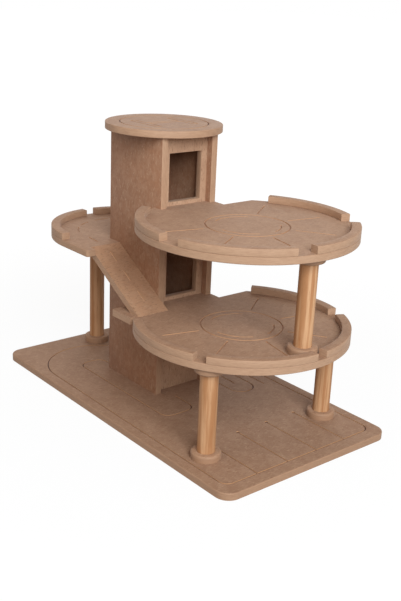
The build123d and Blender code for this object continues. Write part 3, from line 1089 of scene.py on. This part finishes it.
@dataclass
class Columns:
    """The four dowel columns, their rings and the pins in their ends.

    Attributes:
        names: The columns' nodes.
        ring_tone: Colour of the rings' turned rims.
        bore_gap: How much wider than its dowel a ring's bore is, in radius.
        rim_round: Radius of a ring's free rim, in metres.
        edge_round: Radius of a ring's other edges, in metres.
        steps: How many points run round a ring.
        round_steps: How many points run round each of a ring's edges.
        pin_shift: Where in the pattern the pins were cut.
        next_dowel: How far along the pattern each next dowel was cut.
        ring_shift: Where in the pattern the first column's rings were cut.
        next_rings: How far along the pattern each next column's were cut.
    """

    names: Sequence[str] = ("front_column", "side_column", "upper_column", "half_deck_column")
    ring_tone: Rgb = paint(162, 124, 95)
    bore_gap: float = 0.05 * MM
    rim_round: float = 2.7 * MM
    edge_round: float = 0.3 * MM
    steps: int = 96
    round_steps: int = 6
    pin_shift: float = 2.2
    next_dowel: float = 0.31
    ring_shift: float = 4.1
    next_rings: float = 0.29

    def dress(self, rule: Rule) -> None:
        """Dresses each dowel and makes its rings.

        Args:
            rule: The rings' rule.
        """
        for count, name in enumerate(self.names):
            dowel = DowelWood("dowel " + name, Face.TOP, self.next_dowel * (count + 1))
            copied_piece(name, Body.GARAGE, dowel.make())
            low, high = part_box(name)
            bore = (high.x - low.x) / 2 + self.bore_gap
            shift = self.ring_shift + self.next_rings * count
            board = FibreBoard("board rings " + name, Face.TOP, shift=shift, edge_tone=self.ring_tone)
            ring_finish = board.make()
            for end, turn in (("_foot_ring", 0.0), ("_top_ring", math.pi)):
                self.ring(rule, name + end, bore, turn, ring_finish)
        pins = DowelWood("dowel pins", Face.TOP, self.pin_shift)
        copied_piece("column_pins", Body.GARAGE, pins.make())

    def ring(self, rule: Rule, node: str, bore: float, turn: float, finish: bpy.types.Material) -> None:
        """Makes one ring.

        Args:
            rule: The rings' rule.
            node: The ring's node.
            bore: Radius of its bore.
            turn: Its turn about X, half a turn at a column's top.
            finish: Its material.
        """
        low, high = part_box(node)
        sizes = {
            "Centre": (low + high) / 2,
            "Outer radius": (high.x - low.x) / 2,
            "Bore radius": bore,
            "Height": high.z - low.z,
            "Rim round": self.rim_round,
            "Edge round": self.edge_round,
            "Steps": self.steps,
            "Round steps": self.round_steps,
            "Turn": turn,
            "Finish": finish,
        }
        piece = rule.grow(node + "_look", sizes)
        shade(piece.data)
        finish_piece(piece, node, Body.GARAGE, finish)


@dataclass
class LiftCar:
    """The open-ended box that carries a toy car up the shaft.

    Attributes:
        sanded: Width of the sanded edges, in metres.
        brass_tone: Colour of the cord eye's plating.
        worn_tone: Colour of the plating where it is dull.
        first_shift: Where in the pattern the first board was cut.
        next_shift: How far along the pattern each next one was cut.
        boards: Which way each board's pressed faces look.
    """

    sanded: float = 0.5 * MM
    brass_tone: Rgb = paint(214, 176, 104)
    worn_tone: Rgb = paint(170, 132, 70)
    first_shift: float = 5.3
    next_shift: float = 0.41
    boards: dict[str, Face] = field(
        default_factory=lambda: {
            "lift_car_floor": Face.TOP,
            "lift_car_wall_near": Face.SIDE,
            "lift_car_wall_far": Face.SIDE,
            "lift_car_roof": Face.TOP,
        }
    )

    def dress(self) -> None:
        """Dresses the boards and the cord eye."""
        for count, (node, face) in enumerate(self.boards.items()):
            finish = FibreBoard("board " + node, face, shift=self.first_shift + self.next_shift * count)
            copied_piece(node, Body.CAR, finish.make(), self.sanded)
        brass = BareMetal("plated brass", self.brass_tone, self.worn_tone).make()
        copied_piece("lift_cord_eye", Body.CAR, brass)


@dataclass
class Crank:
    """The axle, cord drum, arm and knob that wind the lift.

    Attributes:
        rods: Nodes made from dowel.
        sanded: Width of the arm's sanded edges, in metres.
        arm_shift: Where in the pattern the arm was cut.
        first_shift: Where in the pattern the first rod was cut.
        next_shift: How far along the pattern each next one was cut.
    """

    rods: Sequence[str] = ("crank_axle", "cord_drum", "crank_knob_pin", "crank_knob")
    sanded: float = 0.5 * MM
    arm_shift: float = 6.1
    first_shift: float = 1.3
    next_shift: float = 0.27

    def dress(self) -> None:
        """Dresses every piece of the crank."""
        for count, node in enumerate(self.rods):
            shift = self.first_shift + self.next_shift * count
            finish = DowelWood("dowel " + node, Face.FRONT, shift)
            copied_piece(node, Body.CRANK, finish.make())
        arm = FibreBoard("board crank arm", Face.FRONT, shift=self.arm_shift)
        copied_piece("crank_arm", Body.CRANK, arm.make(), self.sanded)


@dataclass
class PhotoCamera:
    """The photograph's viewpoint, fitted to the object's own corners.

    Attributes:
        place: Where the lens is, in metres.
        yaw: Direction of view in plan, in degrees from +X.
        pitch: Degrees below level.
        roll: Degrees of tilt about the line of view.
        focal_pixels: Focal length in pixels of the photograph.
        picture_height: The photograph's height in pixels.
        sensor: Width of the sensor, in millimetres.
        nearest: Nearest distance that the picture shows, in metres.
        farthest: Farthest distance that the picture shows, in metres.
    """

    place: Point = (0.9865, -0.8046, 0.5990)
    yaw: float = 139.9
    pitch: float = 19.3
    roll: float = 2.5
    focal_pixels: float = 912.4
    picture_height: int = 601
    sensor: float = 36.0
    nearest: float = 0.01
    farthest: float = 60.0

    def turn(self) -> Matrix:
        """The camera's turn, from its yaw, pitch and roll.

        Returns:
            The turn as a matrix.
        """
        yaw, pitch, roll = (math.radians(v) for v in (self.yaw, self.pitch, self.roll))
        flat = math.cos(pitch)
        view = Vector((math.cos(yaw) * flat, math.sin(yaw) * flat, -math.sin(pitch)))
        level = view.cross(Vector((0, 0, 1))).normalized()
        upward = level.cross(view)
        right = level * math.cos(roll) + upward * math.sin(roll)
        up = upward * math.cos(roll) - level * math.sin(roll)
        return Matrix((right, up, -view)).transposed().to_4x4()

    def build(self) -> None:
        """Makes the camera and sets it as the scene's own."""
        data = bpy.data.cameras.new("photo camera")
        data.sensor_width = self.sensor
        data.lens = self.focal_pixels / self.picture_height * self.sensor
        data.clip_start = self.nearest
        data.clip_end = self.farthest
        camera = link("photo camera", data)
        camera.matrix_world = Matrix.Translation(self.place) @ self.turn()
        bpy.context.scene.camera = camera


@dataclass
class SoftLight:
    """A square lamp that the camera doesn't see.

    Attributes:
        name: The lamp's name.
        place: Where it hangs, in metres.
        watts: Its power.
        side: Its side, in metres.
        tone: Its colour.
        glossy: Whether it shows in a gloss.
    """

    name: str
    place: Point
    watts: float
    side: float
    tone: Rgb
    glossy: bool = True

    def build(self, target: Point) -> None:
        """Hangs the lamp.

        Args:
            target: What it points at.
        """
        data = bpy.data.lights.new(self.name, "AREA")
        data.energy = self.watts
        data.size = self.side
        data.color = self.tone
        lamp = link(self.name, data)
        lamp.location = self.place
        lamp.visible_camera = False
        lamp.visible_glossy = self.glossy
        lamp.rotation_euler = (Vector(target) - Vector(self.place)).to_track_quat("-Z", "Y").to_euler()


@dataclass
class Studio:
    """A white floor and sky, a broad key light, a weak fill and a light from behind.

    Attributes:
        floor_half: Half the floor's side, in metres.
        floor_drop: How far below the part's feet the floor lies, in metres.
        floor_grey: How much light the floor throws back.
        floor_glow: How much of the seen floor is plain white light.
        near_reach: Distance to which the glow keeps its near level, in metres.
        far_reach: Distance from which it has its far level, in metres.
        near_glow: Level of the glow near the part.
        far_glow: Level of the glow far from it.
        sky_tone: Colour of the plain light from all round.
        sky_level: Strength of that light.
        target: What the lamps point at.
        lamps: The lamps.
    """

    floor_half: float = 14.0
    floor_drop: float = 0.2 * MM
    floor_grey: float = 0.4
    floor_glow: float = 0.8
    near_reach: float = 0.4
    far_reach: float = 1.6
    near_glow: float = 1.15
    far_glow: float = 1.24
    sky_tone: Rgb = (1.0, 0.86, 0.76)
    sky_level: float = 0.33
    target: Point = (0.05, 0.0, 0.2)
    lamps: Sequence[SoftLight] = (
        SoftLight("key", place=(2.14, -0.84, 1.5), watts=80, side=1.4, tone=(0.86, 0.94, 1.0)),
        SoftLight("fill", place=(-0.1, -1.1, 1.1), watts=2, side=0.8, tone=(1.0, 0.9, 0.8)),
        SoftLight("back", place=(-1.7, 1.2, 1.4), watts=12, side=1.4, tone=(0.86, 0.94, 1.0), glossy=False),
    )

    def sky(self) -> None:
        """Makes the world: white where it is seen, and a plain level of light elsewhere."""
        world = bpy.data.worlds.new("studio sky")
        bpy.context.scene.world = world
        world.use_nodes = True
        graph = NodeGraph(world.node_tree)
        light = {"Color": (*self.sky_tone, 1.0), "Strength": self.sky_level}
        plain = graph.node("ShaderNodeBackground", light)
        seen = graph.node("ShaderNodeBackground", {"Color": WHITE})
        mix = graph.mix_shaders(graph.seen_share(), plain, seen)
        graph.node("ShaderNodeOutputWorld", {"Surface": mix.outputs[0]})

    def floor_finish(self) -> bpy.types.Material:
        """White where it is seen, but still holding the object's shadow.

        Returns:
            The floor's material.
        """
        graph = Finish("studio floor")
        reach = graph.node("ShaderNodeVectorMath", operation="LENGTH")
        graph.feed(reach.inputs[0], graph.coords.outputs["Object"])
        levels = {
            "Value": reach.outputs["Value"],
            "From Min": self.near_reach,
            "From Max": self.far_reach,
            "To Min": self.near_glow,
            "To Max": self.far_glow,
        }
        level = graph.node("ShaderNodeMapRange", levels).outputs["Result"]
        glow = graph.node("ShaderNodeEmission", {"Color": WHITE, "Strength": level})
        grey = (self.floor_grey, self.floor_grey, self.floor_grey, 1.0)
        matt = graph.node("ShaderNodeBsdfDiffuse", {"Color": grey})
        share = graph.math("MULTIPLY", graph.seen_share(), self.floor_glow)
        return graph.end(graph.mix_shaders(share, matt, glow))

    def floor(self) -> None:
        """Lays the floor."""
        half = self.floor_half
        corners = [(-half, -half, 0), (half, -half, 0), (half, half, 0), (-half, half, 0)]
        mesh = bpy.data.meshes.new("studio floor")
        mesh.from_pydata(corners, [], [(0, 1, 2, 3)])
        mesh.materials.append(self.floor_finish())
        floor = link("studio_floor", mesh)
        floor.location.z = -self.floor_drop

    def build(self) -> None:
        """Makes the sky, the floor and the lights."""
        self.sky()
        self.floor()
        for lamp in self.lamps:
            lamp.build(self.target)
        bpy.context.scene.view_settings.view_transform = "Standard"


def main() -> None:
    """Builds every sub-assembly in order.
    """
    PhotoCamera().build()
    Studio().build()
    rails = rail_rule()
    BaseBoard().dress()
    LiftTower().dress()
    Deck.round("lower", LOWER_RAILS, shift=0.9).dress(rails)
    Deck.round("upper", UPPER_RAILS, shift=1.3).dress(rails)
    Deck.half(HALF_DECK_RAILS, shift=2.9).dress(rails)
    Ramp().dress()
    Columns().dress(ring_rule())
    LiftCar().dress()
    Crank().dress()


if __name__ == "__main__":
    main()
